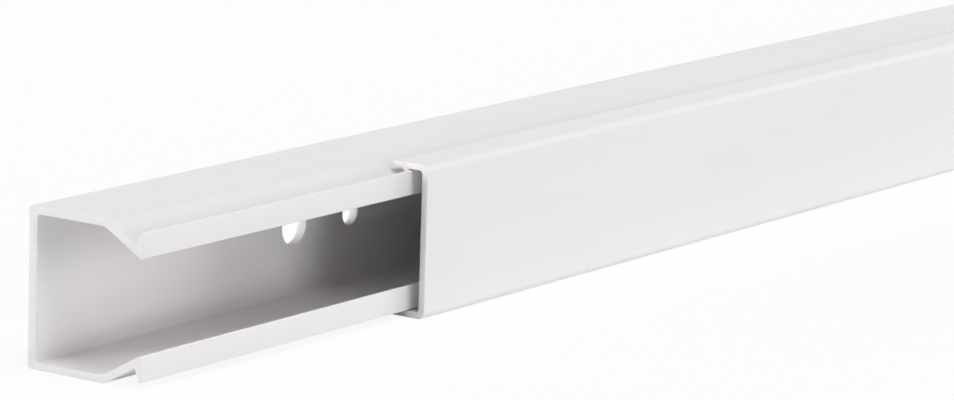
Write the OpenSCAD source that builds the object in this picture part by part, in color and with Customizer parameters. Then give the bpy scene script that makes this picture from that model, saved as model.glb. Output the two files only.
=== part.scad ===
// Cable trunking: an extruded channel with in-turned lips and an extruded lid that snaps over them.
// It lies on one long side with the lid facing -Y and the back, which goes to a wall, facing +Y.
// Sections are drawn with x from the back to the front of the lid and y across the width.

/* [Section] */
// Outside width, side wall to side wall
body_w = 40; // [38:1:60]
// Depth from the back of the channel to the front of the lid
body_d = 40; // [34:1:60]
// Thickness of the channel's side walls and shoulders
wall = 2; // [1.4:0.1:2.4]
// Thickness of the channel's back
back_t = 2.6; // [1.6:0.1:3]
// Radius of the two outer corners at the back
back_corner_r = 1; // [0.4:0.1:1.4]
// Radius of the two inner corners at the back
back_fillet_r = 1; // [0.4:0.1:2]

/* [Shoulders and lips] */
// Depth from the lid's front to the front face of the lips
lip_setback = 5; // [4:0.5:7]
// Depth taken by each drawn-in shoulder, from the end of the flat side wall to the lip's front
shoulder_run = 13; // [12.5:0.1:14]
// Slope of the shoulders from the side walls
shoulder_angle = 30; // [26:1:32]
// Outer radius of the bend from side wall to shoulder
shoulder_r = 7; // [5:0.5:8]
// Thickness of the lips at their root, in the groove
lip_t = 2; // [1.6:0.1:2.2]
// Thickness of the lips at their outer edge
lip_tip_t = 0.8; // [0.6:0.1:1.2]
// Radius of the lips' long edges in front
lip_edge_r = 0.3; // [0.2:0.1:0.4]

/* [Lid] */
// Thickness of the lid's front
lid_t = 1.8; // [1.2:0.1:2.2]
// Thickness of the lid's two flanges
flange_t = 1.6; // [1.2:0.1:1.8]
// Thickness of the flanges at their tips, thinned on the inner side
flange_tip_t = 0.8; // [0.7:0.1:1.2]
// Outer radius of the lid's two front corners
lid_corner_r = 2; // [1:0.1:2.5]
// Inner radius of the lid's two front corners
lid_fillet_r = 1; // [0.4:0.1:1.2]
// Radius of the outer edge at the flanges' tips
flange_tip_r = 0.5; // [0.2:0.1:0.6]
// How far each barb reaches behind its lip
barb_reach = 1.2; // [0.8:0.1:1.4]
// Depth of each barb's ramp
barb_run = 1.6; // [1.2:0.1:2.2]
// Length of each flange's thinned tip, beyond its barb's ramp
flange_lead = 2.8; // [2:0.1:3.4]
// Gap between the lid and the channel where they run past each other
fit_gap = 0.3; // [0.2:0.05:0.4]

/* [Fixing holes] */
// Diameter of the large holes, which pass a wall plug
plug_hole_d = 10; // [8:0.5:12]
// Diameter of the small holes, which take a screw
screw_hole_d = 6.5; // [4:0.5:7.5]
// Distance from the near end to the first large hole
hole_start = 101; // [60:1:120]
// Distance from each large hole to the small one beside it
hole_gap = 24; // [15:1:40]
// Distance from one pair of holes to the next
hole_pitch = 250; // [200:10:300]

/* [Stock length] */
// Length of the channel and of the lid
stock_l = 2000; // [1000:100:3000]
// Length of channel left open at the near end by the drawn-back lid
lid_drawn = 107; // [0:1:300]

/* [Hidden] */
$fn = 96;
// Overshoot of a cutter past the face it opens
cut = 1;
half_w = body_w / 2;
near_x = -(stock_l + lid_drawn) / 2;
// Lips: front face, depth of their groove face at root and outer edge, and that edge across the width
lip_front = body_d - lip_setback;
lip_root_x = lip_front - lip_t;
lip_tip_x = lip_front - lip_tip_t;
lip_outer_y = half_w - flange_t - fit_gap;
// Shoulders: the bend's centre and inner radius, and where the two faces of the slope leave the bend
bend_x = lip_front - shoulder_run;
bend_y = half_w - shoulder_r;
bend_inner_r = shoulder_r - wall;
slope_rise = tan(shoulder_angle);
outer_from = [bend_x + shoulder_r * sin(shoulder_angle), bend_y + shoulder_r * cos(shoulder_angle)];
inner_from = [bend_x + bend_inner_r * sin(shoulder_angle), bend_y + bend_inner_r * cos(shoulder_angle)];
// Grooves: their feet, where the slope's outer face meets the lips, and how the lips' faces lean in them
groove_y = outer_from[1] - (lip_root_x - outer_from[0]) * slope_rise;
groove_lean = (lip_tip_x - lip_root_x) / (lip_outer_y - groove_y);
// The lips' inner edge lies where the slope's inner face comes as near the front as the outer edge
lip_inner_y = inner_from[1] - (lip_tip_x - inner_from[0]) * slope_rise;
// Lid: inner faces
lid_inner_x = body_d - lid_t;
flange_y = half_w - flange_t;
flange_tip_y = half_w - flange_tip_t;
// Barbs hook in behind the lips, their faces one gap off the lips' leaning faces
barb_gap = fit_gap * sqrt(1 + pow(groove_lean, 2));
barb_y = lip_outer_y - barb_reach;
barb_x = lip_tip_x - barb_reach * groove_lean - barb_gap;
barb_root_x = lip_tip_x + fit_gap * groove_lean - barb_gap;
ramp_x = barb_x - barb_run;
flange_tip_x = ramp_x - flange_lead;
pair_count = floor((stock_l - hole_start - hole_gap - plug_hole_d) / hole_pitch) + 1;
white = [0.86, 0.86, 0.87];

// What a quarter-round of radius r takes off a square corner, the material lying in -x, -y before the turn
module round_off(corner, r, turn) {
    translate(corner)
        rotate(turn)
            translate([-r, -r])
                difference() {
                    square(r + cut);
                    circle(r);
                }
}

// Area within a face that follows both side walls, bends and slopes, from x = from to x = to.
// The side walls lie at y = side either way, and the slopes leave bends of radius r at slope_from.
module area_within(from, to, side, r, slope_from) {
    slope_to = slope_from[1] - (to - slope_from[0]) * slope_rise;
    polygon([
        [from, -side],
        [bend_x, -side],
        [bend_x, -bend_y],
        [slope_from[0], -slope_from[1]],
        [to, -slope_to],
        [to, slope_to],
        slope_from,
        [bend_x, bend_y],
        [bend_x, side],
        [from, side]
    ]);
    for (y = [-bend_y, bend_y])
        translate([bend_x, y])
            circle(r);
}

// Outside of the channel: walls, slopes and the tapered lips folded back outward at the slopes' ends.
// The grooves left behind the lips take the lid's barbs.
module channel_outside() {
    difference() {
        union() {
            area_within(0, lip_front, half_w, shoulder_r, outer_from);
            polygon([
                [lip_root_x, -groove_y],
                [lip_tip_x, -lip_outer_y],
                [lip_front, -lip_outer_y],
                [lip_front, lip_outer_y],
                [lip_tip_x, lip_outer_y],
                [lip_root_x, groove_y]
            ]);
        }
        round_off([0, half_w], back_corner_r, 90);
        round_off([0, -half_w], back_corner_r, 180);
        round_off([lip_front, lip_outer_y], lip_edge_r, 0);
        round_off([lip_front, -lip_outer_y], lip_edge_r, -90);
    }
}

// Inside of the channel: the cable space and the mouth between the lips
module channel_inside() {
    difference() {
        union() {
            area_within(back_t, lip_tip_x, half_w - wall, bend_inner_r, inner_from);
            translate([bend_x, -lip_inner_y])
                square([lip_front + cut - bend_x, 2 * lip_inner_y]);
        }
        round_off([back_t, half_w - wall], back_fillet_r, 90);
        round_off([back_t, -(half_w - wall)], back_fillet_r, 180);
    }
}

module channel_section() {
    difference() {
        channel_outside();
        channel_inside();
        round_off([lip_front, lip_inner_y], lip_edge_r, -90);
        round_off([lip_front, -lip_inner_y], lip_edge_r, 0);
    }
}

// Front of the lid and its flanges, which thin towards their tips
module lid_section() {
    difference() {
        translate([flange_tip_x, -half_w])
            square([body_d - flange_tip_x, body_w]);
        difference() {
            polygon([
                [flange_tip_x - cut, -flange_tip_y],
                [flange_tip_x, -flange_tip_y],
                [ramp_x, -flange_y],
                [lid_inner_x, -flange_y],
                [lid_inner_x, flange_y],
                [ramp_x, flange_y],
                [flange_tip_x, flange_tip_y],
                [flange_tip_x - cut, flange_tip_y]
            ]);
            round_off([lid_inner_x, flange_y], lid_fillet_r, 0);
            round_off([lid_inner_x, -flange_y], lid_fillet_r, -90);
        }
        round_off([body_d, half_w], lid_corner_r, 0);
        round_off([body_d, -half_w], lid_corner_r, -90);
        round_off([flange_tip_x, half_w], flange_tip_r, 90);
        round_off([flange_tip_x, -half_w], flange_tip_r, 180);
    }
}

// Hook on the inside of one flange; its root is sunk into the flange
module barb_section() {
    polygon([
        [ramp_x, flange_y],
        [barb_x, barb_y],
        [barb_root_x, flange_y],
        [barb_root_x, flange_y + flange_t / 2],
        [ramp_x, flange_y + flange_t / 2]
    ]);
}

// Runs a section along the length from x = from, its back facing +Y and its centre line at height 0
module extrusion(from) {
    translate([from + stock_l, body_d / 2, 0])
        rotate([90, 0, -90])
            linear_extrude(stock_l)
                children();
}

// Round hole through the back wall on its centre line, at a distance from the near end
module back_hole(distance, d) {
    translate([near_x + distance, body_d / 2 - back_t - cut, 0])
        rotate([-90, 0, 0])
            cylinder(d = d, h = back_t + 2 * cut);
}

module base_channel() {
    color(white)
        translate([0, 0, half_w])
            difference() {
                extrusion(near_x) channel_section();
                for (i = [0 : pair_count - 1]) {
                    back_hole(hole_start + i * hole_pitch, plug_hole_d);
                    back_hole(hole_start + i * hole_pitch + hole_gap, screw_hole_d);
                }
            }
}

module lid() {
    color(white)
        translate([0, 0, half_w]) {
            extrusion(near_x + lid_drawn) lid_section();
            extrusion(near_x + lid_drawn) barb_section();
            mirror([0, 0, 1])
                extrusion(near_x + lid_drawn) barb_section();
        }
}

base_channel();
lid();
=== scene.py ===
import math
import bpy
from mathutils import Matrix, Vector


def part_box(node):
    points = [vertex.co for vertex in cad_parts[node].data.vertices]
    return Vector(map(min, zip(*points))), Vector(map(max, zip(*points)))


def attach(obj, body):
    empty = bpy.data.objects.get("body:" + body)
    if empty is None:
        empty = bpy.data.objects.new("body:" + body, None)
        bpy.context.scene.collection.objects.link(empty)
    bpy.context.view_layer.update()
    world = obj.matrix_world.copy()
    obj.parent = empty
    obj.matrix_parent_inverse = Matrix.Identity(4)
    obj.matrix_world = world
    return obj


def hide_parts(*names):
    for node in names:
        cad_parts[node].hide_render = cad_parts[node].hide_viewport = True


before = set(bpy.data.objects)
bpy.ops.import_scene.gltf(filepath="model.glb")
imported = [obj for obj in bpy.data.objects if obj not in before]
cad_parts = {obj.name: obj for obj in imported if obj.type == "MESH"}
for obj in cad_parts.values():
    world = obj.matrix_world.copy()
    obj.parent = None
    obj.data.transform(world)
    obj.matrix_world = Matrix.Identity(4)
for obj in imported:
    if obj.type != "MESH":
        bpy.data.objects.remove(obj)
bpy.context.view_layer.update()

# Channel: one length of rigid white PVC from a die that shapes its back, side walls, shoulders and lips.
# It is sawn square at both ends, and pairs of holes for a wall plug and a screw are drilled along its back.
# Its section is given in millimetres, u from the back to the lid's front and v across the width.
channel_low, channel_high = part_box("base_channel")
channel_length = channel_high.x - channel_low.x
depth, half_width = 40.0, 20.0
wall, back_thick = 2.0, 2.6
back_corner, back_fillet = 1.0, 1.0
lip_front, lip_root, lip_tip, lip_reach, lip_edge = 35.0, 2.0, 0.8, 18.1, 0.3
bend_at, bend_in, bend_radius, slope = 22.0, 13.0, 7.0, math.radians(30)
plug_hole, screw_hole = 10.0, 6.5
first_plug, first_screw, hole_pitch, hole_pairs = 101.0, 125.0, 250.0, 8
hole_band, broken_edge, sharp_from = 8.0, 0.16, math.radians(35)


def arc(u, v, radius, start, end, steps):
    """Points of an arc in the section, from one angle in degrees to another."""
    turns = [math.radians(start + (end - start) * i / steps) for i in range(steps + 1)]
    return [(u + radius * math.cos(t), v + radius * math.sin(t)) for t in turns]


def section_face(name, upper_half):
    """One flat face across the length, from the upper half of a section and its mirror image below."""
    lower_half = [(u, -v) for u, v in reversed(upper_half)]
    outline = upper_half + lower_half
    points = [(0.0, (depth / 2 - u) / 1000, (half_width + v) / 1000) for u, v in outline]
    mesh = bpy.data.meshes.new(name)
    mesh.from_pydata(points, [], [list(range(len(points)))])
    if mesh.polygons[0].normal.x > 0:
        mesh.flip_normals()
    piece = bpy.data.objects.new(name, mesh)
    bpy.context.scene.collection.objects.link(piece)
    return piece


groove_at, lip_tip_at = lip_front - lip_root, lip_front - lip_tip
bend_inner = bend_radius - wall
outer_leaves = (bend_at + bend_radius * math.sin(slope), bend_in + bend_radius * math.cos(slope))
inner_leaves = (bend_at + bend_inner * math.sin(slope), bend_in + bend_inner * math.cos(slope))
lip_inner = inner_leaves[1] - (lip_tip_at - inner_leaves[0]) * math.tan(slope)
groove_foot = outer_leaves[1] - (groove_at - outer_leaves[0]) * math.tan(slope)
channel_half = (
    arc(back_corner, half_width - back_corner, back_corner, 180, 90, 8)
    + arc(bend_at, bend_in, bend_radius, 90, 60, 12)
    + [(groove_at, groove_foot), (lip_tip_at, lip_reach)]
    + arc(lip_front - lip_edge, lip_reach - lip_edge, lip_edge, 90, 0, 6)
    + arc(lip_front - lip_edge, lip_inner + lip_edge, lip_edge, 0, -90, 6)
    + [(lip_tip_at, lip_inner)]
    + arc(bend_at, bend_in, bend_inner, 60, 90, 10)
    + arc(back_thick + back_fillet, half_width - wall - back_fillet, back_fillet, 90, 180, 8)
)
channel = section_face("channel_run", channel_half)


def new_tree(name, inputs):
    """An empty Geometry Nodes tree with a mesh in, a mesh out and named sizes."""
    tree = bpy.data.node_groups.new(name, "GeometryNodeTree")
    tree.interface.new_socket("Section", in_out="INPUT", socket_type="NodeSocketGeometry")
    for label, kind in inputs:
        tree.interface.new_socket(label, in_out="INPUT", socket_type=kind)
    tree.interface.new_socket("Run", in_out="OUTPUT", socket_type="NodeSocketGeometry")
    return tree, tree.nodes.new("NodeGroupInput"), tree.nodes.new("NodeGroupOutput")


def along_length(tree, sizes):
    """Nodes that run the section from Start over Length and close both ends."""
    start = tree.nodes.new("ShaderNodeCombineXYZ")
    reach = tree.nodes.new("ShaderNodeCombineXYZ")
    tree.links.new(sizes.outputs["Start"], start.inputs["X"])
    tree.links.new(sizes.outputs["Length"], reach.inputs["X"])
    place = tree.nodes.new("GeometryNodeTransform")
    tree.links.new(sizes.outputs["Section"], place.inputs["Geometry"])
    tree.links.new(start.outputs["Vector"], place.inputs["Translation"])
    extrude = tree.nodes.new("GeometryNodeExtrudeMesh")
    extrude.inputs["Offset Scale"].default_value = 1.0
    extrude.inputs["Individual"].default_value = False
    tree.links.new(place.outputs["Geometry"], extrude.inputs["Mesh"])
    tree.links.new(reach.outputs["Vector"], extrude.inputs["Offset"])
    joined = tree.nodes.new("GeometryNodeJoinGeometry")
    tree.links.new(place.outputs["Geometry"], joined.inputs["Geometry"])
    turned = tree.nodes.new("GeometryNodeFlipFaces")
    tree.links.new(extrude.outputs["Mesh"], turned.inputs["Mesh"])
    tree.links.new(turned.outputs["Mesh"], joined.inputs["Geometry"])
    closed = tree.nodes.new("GeometryNodeMergeByDistance")
    closed.inputs["Distance"].default_value = 1e-6
    tree.links.new(joined.outputs["Geometry"], closed.inputs["Geometry"])
    return closed.outputs["Geometry"]


def hole_row(tree, sizes, first, radius):
    """Nodes for a row of drills through the back, one for each pair of holes."""
    start = tree.nodes.new("ShaderNodeCombineXYZ")
    start.inputs["Y"].default_value = (depth / 2 - back_thick / 2) / 1000
    start.inputs["Z"].default_value = half_width / 1000
    tree.links.new(sizes.outputs[first], start.inputs["X"])
    step = tree.nodes.new("ShaderNodeCombineXYZ")
    tree.links.new(sizes.outputs["Hole pitch"], step.inputs["X"])
    row = tree.nodes.new("GeometryNodeMeshLine")
    tree.links.new(sizes.outputs["Hole pairs"], row.inputs["Count"])
    tree.links.new(start.outputs["Vector"], row.inputs["Start Location"])
    tree.links.new(step.outputs["Vector"], row.inputs["Offset"])
    drill = tree.nodes.new("GeometryNodeMeshCylinder")
    drill.inputs["Vertices"].default_value = 64
    drill.inputs["Depth"].default_value = 3 * back_thick / 1000
    tree.links.new(sizes.outputs[radius], drill.inputs["Radius"])
    drills = tree.nodes.new("GeometryNodeInstanceOnPoints")
    drills.inputs["Rotation"].default_value = (math.pi / 2, 0, 0)
    tree.links.new(row.outputs["Mesh"], drills.inputs["Points"])
    tree.links.new(drill.outputs["Mesh"], drills.inputs["Instance"])
    solid = tree.nodes.new("GeometryNodeRealizeInstances")
    tree.links.new(drills.outputs["Instances"], solid.inputs["Geometry"])
    return solid.outputs["Geometry"]


def dress(tree, sizes, shape, result):
    """Nodes that end a tree: a plain mesh in the plastic of the piece."""
    whole = tree.nodes.new("GeometryNodeRealizeInstances")
    tree.links.new(shape, whole.inputs["Geometry"])
    dressed = tree.nodes.new("GeometryNodeSetMaterial")
    tree.links.new(whole.outputs["Geometry"], dressed.inputs["Geometry"])
    tree.links.new(sizes.outputs["Plastic"], dressed.inputs["Material"])
    tree.links.new(dressed.outputs["Geometry"], result.inputs["Run"])


channel_tree, sizes, result = new_tree("drilled_channel", [
    ("Start", "NodeSocketFloat"), ("Length", "NodeSocketFloat"),
    ("First plug hole", "NodeSocketFloat"), ("First screw hole", "NodeSocketFloat"),
    ("Plug hole radius", "NodeSocketFloat"), ("Screw hole radius", "NodeSocketFloat"),
    ("Hole pitch", "NodeSocketFloat"), ("Hole pairs", "NodeSocketInt"), ("Plastic", "NodeSocketMaterial")])
drilled = channel_tree.nodes.new("GeometryNodeMeshBoolean")
drilled.operation = "DIFFERENCE"
drilled.solver = "EXACT"
channel_tree.links.new(along_length(channel_tree, sizes), drilled.inputs["Mesh 1"])
for first, radius in (("First plug hole", "Plug hole radius"), ("First screw hole", "Screw hole radius")):
    channel_tree.links.new(hole_row(channel_tree, sizes, first, radius), drilled.inputs["Mesh 2"])
dress(channel_tree, sizes, drilled.outputs["Mesh"], result)


def shader(material, kind, **values):
    """A shader node of one kind with its fixed inputs set."""
    made = material.node_tree.nodes.new(kind)
    for label, value in values.items():
        made.inputs[label.replace("_", " ")].default_value = value
    return made


def streaks(material, along, across, detail=3.0):
    """Noise drawn out along the length, the way a die leaves its lines in the plastic."""
    links = material.node_tree.links
    where = shader(material, "ShaderNodeTexCoord")
    drawn = shader(material, "ShaderNodeMapping", Scale=(along, across, across))
    noise = shader(material, "ShaderNodeTexNoise", Scale=1.0, Detail=detail, Roughness=0.55)
    links.new(where.outputs["Object"], drawn.inputs["Vector"])
    links.new(drawn.outputs["Vector"], noise.inputs["Vector"])
    return noise.outputs["Fac"]


def ranged(material, noise, low, high):
    """A noise's middle range brought to the range from low to high."""
    made = shader(material, "ShaderNodeMapRange", From_Min=0.3, From_Max=0.7, To_Min=low, To_Max=high)
    material.node_tree.links.new(noise, made.inputs["Value"])
    return made.outputs["Result"]


def two_tones(material, light, dark, share):
    """A colour between two tones of the plastic."""
    made = shader(material, "ShaderNodeMix")
    made.data_type = "RGBA"
    made.inputs["A"].default_value = (*dark, 1)
    made.inputs["B"].default_value = (*light, 1)
    material.node_tree.links.new(share, made.inputs["Factor"])
    return made.outputs["Result"]


def rigid_plastic(name, specular):
    """A plain PVC material, its surface shader and its links."""
    material = bpy.data.materials.new(name)
    material.use_nodes = True
    surface = material.node_tree.nodes["Principled BSDF"]
    surface.inputs["IOR"].default_value = 1.53
    surface.inputs["Specular IOR Level"].default_value = specular
    return material, surface, material.node_tree.links


def extruded_plastic(name, light, dark, gloss_from, gloss_to):
    """Satin PVC as it leaves the die: fine lines along the length, faint clouding and uneven gloss."""
    material, surface, links = rigid_plastic(name, specular=0.42)
    clouds = ranged(material, streaks(material, along=7.0, across=60.0, detail=4.0), 0.25, 1.0)
    links.new(two_tones(material, light, dark, clouds), surface.inputs["Base Color"])
    gloss = ranged(material, streaks(material, along=5.0, across=420.0), gloss_from, gloss_to)
    links.new(gloss, surface.inputs["Roughness"])
    fine = shader(material, "ShaderNodeBump", Strength=0.35, Distance=0.00002)
    links.new(streaks(material, along=3.0, across=2600.0, detail=2.0), fine.inputs["Height"])
    waves = shader(material, "ShaderNodeBump", Strength=0.3, Distance=0.00016)
    links.new(streaks(material, along=1.6, across=190.0, detail=2.0), waves.inputs["Height"])
    links.new(fine.outputs["Normal"], waves.inputs["Normal"])
    links.new(waves.outputs["Normal"], surface.inputs["Normal"])
    return material


def sawn_plastic(name, light, dark):
    """The same plastic where a blade or drill has cut it: dull, with the teeth's lines across it."""
    material, surface, links = rigid_plastic(name, specular=0.3)
    where = shader(material, "ShaderNodeTexCoord")
    blade_lean = (math.radians(18), 0, 0)
    turned = shader(material, "ShaderNodeMapping", Rotation=blade_lean, Scale=(300.0, 160.0, 2400.0))
    links.new(where.outputs["Object"], turned.inputs["Vector"])
    noise = shader(material, "ShaderNodeTexNoise", Scale=1.0, Detail=3.0, Roughness=0.6)
    links.new(turned.outputs["Vector"], noise.inputs["Vector"])
    teeth = noise.outputs["Fac"]
    tone = two_tones(material, light, dark, ranged(material, teeth, 0.0, 1.0))
    links.new(tone, surface.inputs["Base Color"])
    links.new(ranged(material, teeth, 0.5, 0.68), surface.inputs["Roughness"])
    lines = shader(material, "ShaderNodeBump", Strength=0.4, Distance=0.00004)
    links.new(teeth, lines.inputs["Height"])
    links.new(lines.outputs["Normal"], surface.inputs["Normal"])
    return material


def is_cut(face):
    """Whether a face was made by the saw or, near the middle of the back, by a drill."""
    across_end = abs(face.normal.x) > 0.9
    in_back = face.center.y > (depth / 2 - back_thick) / 1000
    near_middle = abs(face.center.z - half_width / 1000) < hole_band / 1000
    return across_end or (in_back and near_middle and abs(face.normal.y) < 0.3)


def finish_run(piece, tree, values, plastic, sawn):
    """Runs the tree, softens the cut edges, leaves a plain mesh and gives the cut faces their own plastic."""
    run = piece.modifiers.new("run", "NODES")
    run.node_group = tree
    for item in tree.interface.items_tree:
        if item.in_out == "INPUT" and item.name in values:
            run[item.identifier] = values[item.name]
    edges = piece.modifiers.new("edges", "BEVEL")
    edges.width = broken_edge / 1000
    edges.segments = 2
    edges.limit_method = "ANGLE"
    edges.angle_limit = sharp_from
    edges.use_clamp_overlap = False
    shade = piece.modifiers.new("shade", "WEIGHTED_NORMAL")
    shade.keep_sharp = True
    graph = bpy.context.evaluated_depsgraph_get()
    ready = piece.evaluated_get(graph)
    mesh = bpy.data.meshes.new_from_object(ready, preserve_all_data_layers=True, depsgraph=graph)
    piece.modifiers.clear()
    piece.data = mesh
    mesh.name = piece.name
    mesh.materials.clear()
    mesh.materials.append(plastic)
    mesh.materials.append(sawn)
    for face in mesh.polygons:
        face.material_index = 1 if is_cut(face) else 0
        face.use_smooth = True


channel_plastic = extruded_plastic("channel_plastic", (0.80, 0.78, 0.80), (0.77, 0.75, 0.77), 0.36, 0.50)
channel_sawn = sawn_plastic("channel_sawn", (0.78, 0.76, 0.775), (0.72, 0.70, 0.715))
finish_run(channel, channel_tree, {
    "Start": channel_low.x, "Length": channel_length,
    "First plug hole": channel_low.x + first_plug / 1000,
    "First screw hole": channel_low.x + first_screw / 1000,
    "Plug hole radius": plug_hole / 2000, "Screw hole radius": screw_hole / 2000,
    "Hole pitch": hole_pitch / 1000, "Hole pairs": hole_pairs, "Plastic": channel_plastic,
}, channel_plastic, channel_sawn)
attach(channel, "channel")
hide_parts("base_channel")

# Lid: a second PVC extrusion of the same white, with a flat front, rounded corners and two springy flanges.
# A barb inside each flange hooks in behind a lip of the channel; the lid is pressed on and slides along.
lid_low, lid_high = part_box("lid")
lid_length = lid_high.x - lid_low.x
lid_thick, flange_thick, flange_tip_thick = 1.8, 1.6, 0.8
lid_corner, lid_fillet, flange_edge = 2.0, 1.0, 0.5
barb_reach, barb_run, flange_lead, fit_gap = 1.2, 1.6, 2.8, 0.3
flange_in = half_width - flange_thick
lid_inside = depth - lid_thick
groove_lean = (lip_tip_at - groove_at) / (lip_reach - groove_foot)
barb_gap = fit_gap * math.hypot(1, groove_lean)
barb_tip = (lip_tip_at - barb_reach * groove_lean - barb_gap, lip_reach - barb_reach)
barb_root = (lip_tip_at + fit_gap * groove_lean - barb_gap, flange_in)
ramp_at = barb_tip[0] - barb_run
flange_tip = ramp_at - flange_lead
lid_half = (
    arc(depth - lid_corner, half_width - lid_corner, lid_corner, 0, 90, 14)
    + arc(flange_tip + flange_edge, half_width - flange_edge, flange_edge, 90, 180, 6)
    + [(flange_tip, half_width - flange_tip_thick), (ramp_at, flange_in), barb_tip, barb_root]
    + arc(lid_inside - lid_fillet, flange_in - lid_fillet, lid_fillet, 90, 0, 8)
)
lid = section_face("lid_run", lid_half)
lid_tree, sizes, result = new_tree("lid_length", [
    ("Start", "NodeSocketFloat"), ("Length", "NodeSocketFloat"), ("Plastic", "NodeSocketMaterial")])
dress(lid_tree, sizes, along_length(lid_tree, sizes), result)
lid_plastic = extruded_plastic("lid_plastic", (0.80, 0.78, 0.80), (0.775, 0.755, 0.775), 0.34, 0.46)
# The lid's cut ends are painted lighter than its faces and than the channel's cut ends: painted light,
# standing in for the light that the open channel keeps off the lid's end.
lid_sawn_painted_light = sawn_plastic("lid_sawn_painted_light", (0.90, 0.88, 0.895), (0.85, 0.83, 0.845))
finish_run(lid, lid_tree, {
    "Start": lid_low.x, "Length": lid_length, "Plastic": lid_plastic,
}, lid_plastic, lid_sawn_painted_light)
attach(lid, "lid")
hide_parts("lid")

# Floor: a plain white studio floor under the trunking, painted matt.
# It shows nearly white to the camera and in reflections, and still takes the trunking's shadow.
floor_reach, glow_share = 8, 0.9
floor_mesh = bpy.data.meshes.new("floor")
corners = [(x * floor_reach, y * floor_reach, 0) for x, y in ((-1, -1), (1, -1), (1, 1), (-1, 1))]
floor_mesh.from_pydata(corners, [], [(0, 1, 2, 3)])
floor = bpy.data.objects.new("floor", floor_mesh)
bpy.context.scene.collection.objects.link(floor)


def seen_as_white(tree):
    """1 where the camera, a reflection or a view through a surface meets it, and 0 for other light."""
    path = tree.nodes.new("ShaderNodeLightPath")
    total = tree.nodes.new("ShaderNodeMath")
    total.operation = "ADD"
    tree.links.new(path.outputs["Is Camera Ray"], total.inputs[0])
    tree.links.new(path.outputs["Is Glossy Ray"], total.inputs[1])
    capped = tree.nodes.new("ShaderNodeMath")
    capped.operation = "ADD"
    capped.use_clamp = True
    tree.links.new(total.outputs["Value"], capped.inputs[0])
    tree.links.new(path.outputs["Is Transmission Ray"], capped.inputs[1])
    return capped.outputs["Value"]


floor_paint = bpy.data.materials.new("floor_paint")
floor_paint.use_nodes = True
nodes, links = floor_paint.node_tree.nodes, floor_paint.node_tree.links
nodes.clear()
matte = nodes.new("ShaderNodeBsdfDiffuse")
matte.inputs["Color"].default_value = (0.88, 0.88, 0.88, 1)
glow = nodes.new("ShaderNodeEmission")
glow.inputs["Color"].default_value = (1, 1, 1, 1)
glow.inputs["Strength"].default_value = 1.0
share = nodes.new("ShaderNodeMath")
share.operation = "MULTIPLY"
share.inputs[1].default_value = glow_share
links.new(seen_as_white(floor_paint.node_tree), share.inputs[0])
blend = nodes.new("ShaderNodeMixShader")
links.new(share.outputs["Value"], blend.inputs["Fac"])
links.new(matte.outputs["BSDF"], blend.inputs[1])
links.new(glow.outputs["Emission"], blend.inputs[2])
out = nodes.new("ShaderNodeOutputMaterial")
links.new(blend.outputs["Shader"], out.inputs["Surface"])
floor_mesh.materials.append(floor_paint)

# Studio: a white room, seen by the camera and in reflections, that gives no light of its own.
# Large soft lamps stand all round and above, so that all the faces show nearly the same white.
world = bpy.data.worlds.new("studio")
bpy.context.scene.world = world
world.use_nodes = True
nodes, links = world.node_tree.nodes, world.node_tree.links
nodes.clear()
room = nodes.new("ShaderNodeBackground")
room.inputs["Color"].default_value = (1, 1, 1, 1)
links.new(seen_as_white(world.node_tree), room.inputs["Strength"])
out = nodes.new("ShaderNodeOutputWorld")
links.new(room.outputs["Background"], out.inputs["Surface"])


def soft_lamp(name, azimuth, elevation, power, softness=35):
    """A large soft lamp far off, kept out of reflections. Azimuth 0 faces the lid, 90 the far end."""
    light = bpy.data.lights.new(name, "SUN")
    light.energy = power
    light.angle = math.radians(softness)
    made = bpy.data.objects.new(name, light)
    a, e = math.radians(azimuth), math.radians(elevation)
    towards = Vector((math.sin(a) * math.cos(e), -math.cos(a) * math.cos(e), math.sin(e)))
    made.rotation_euler = towards.to_track_quat("Z", "Y").to_euler()
    made.visible_glossy = False
    bpy.context.scene.collection.objects.link(made)


soft_lamp("front", 0, 6, 1.1)
soft_lamp("right", 60, 6, 2.1)
soft_lamp("behind", 180, 6, 1.1)
soft_lamp("left", -120, 6, 2.8)
soft_lamp("near_end", -90, 45, 0.2)
soft_lamp("above", 0, 70, 1.95)

# Camera: a long lens from the left and a little above, as the photograph was taken.
# It stands off the near end, so that the channel's section, the open stretch and the lid's end all show.
camera_data = bpy.data.cameras.new("camera")
frame_pixels, focal_pixels, sensor = 954, 4474.27, 36.0
camera_data.sensor_width = sensor
camera_data.lens = focal_pixels / frame_pixels * sensor
camera_data.clip_start = 0.05
camera_data.clip_end = 50.0
camera = bpy.data.objects.new("camera", camera_data)
bpy.context.scene.collection.objects.link(camera)
azimuth, elevation, roll = -0.963113, 0.195902, 0.031160
level_ahead = Vector((-math.sin(azimuth), math.cos(azimuth), 0))
forward = level_ahead * math.cos(elevation) - Vector((0, 0, math.sin(elevation)))
level_right = forward.cross(Vector((0, 0, 1))).normalized()
level_up = level_right.cross(forward)
right = level_right * math.cos(roll) + level_up * math.sin(roll)
up = level_up * math.cos(roll) - level_right * math.sin(roll)
place = Vector((channel_low.x - 0.796206, -0.663476, 0.251647))
camera.matrix_world = Matrix((
    (right.x, up.x, -forward.x, place.x),
    (right.y, up.y, -forward.y, place.y),
    (right.z, up.z, -forward.z, place.z),
    (0, 0, 0, 1)))
bpy.context.scene.camera = camera
bpy.context.scene.view_settings.view_transform = "Standard"

bpy.context.view_layer.update()
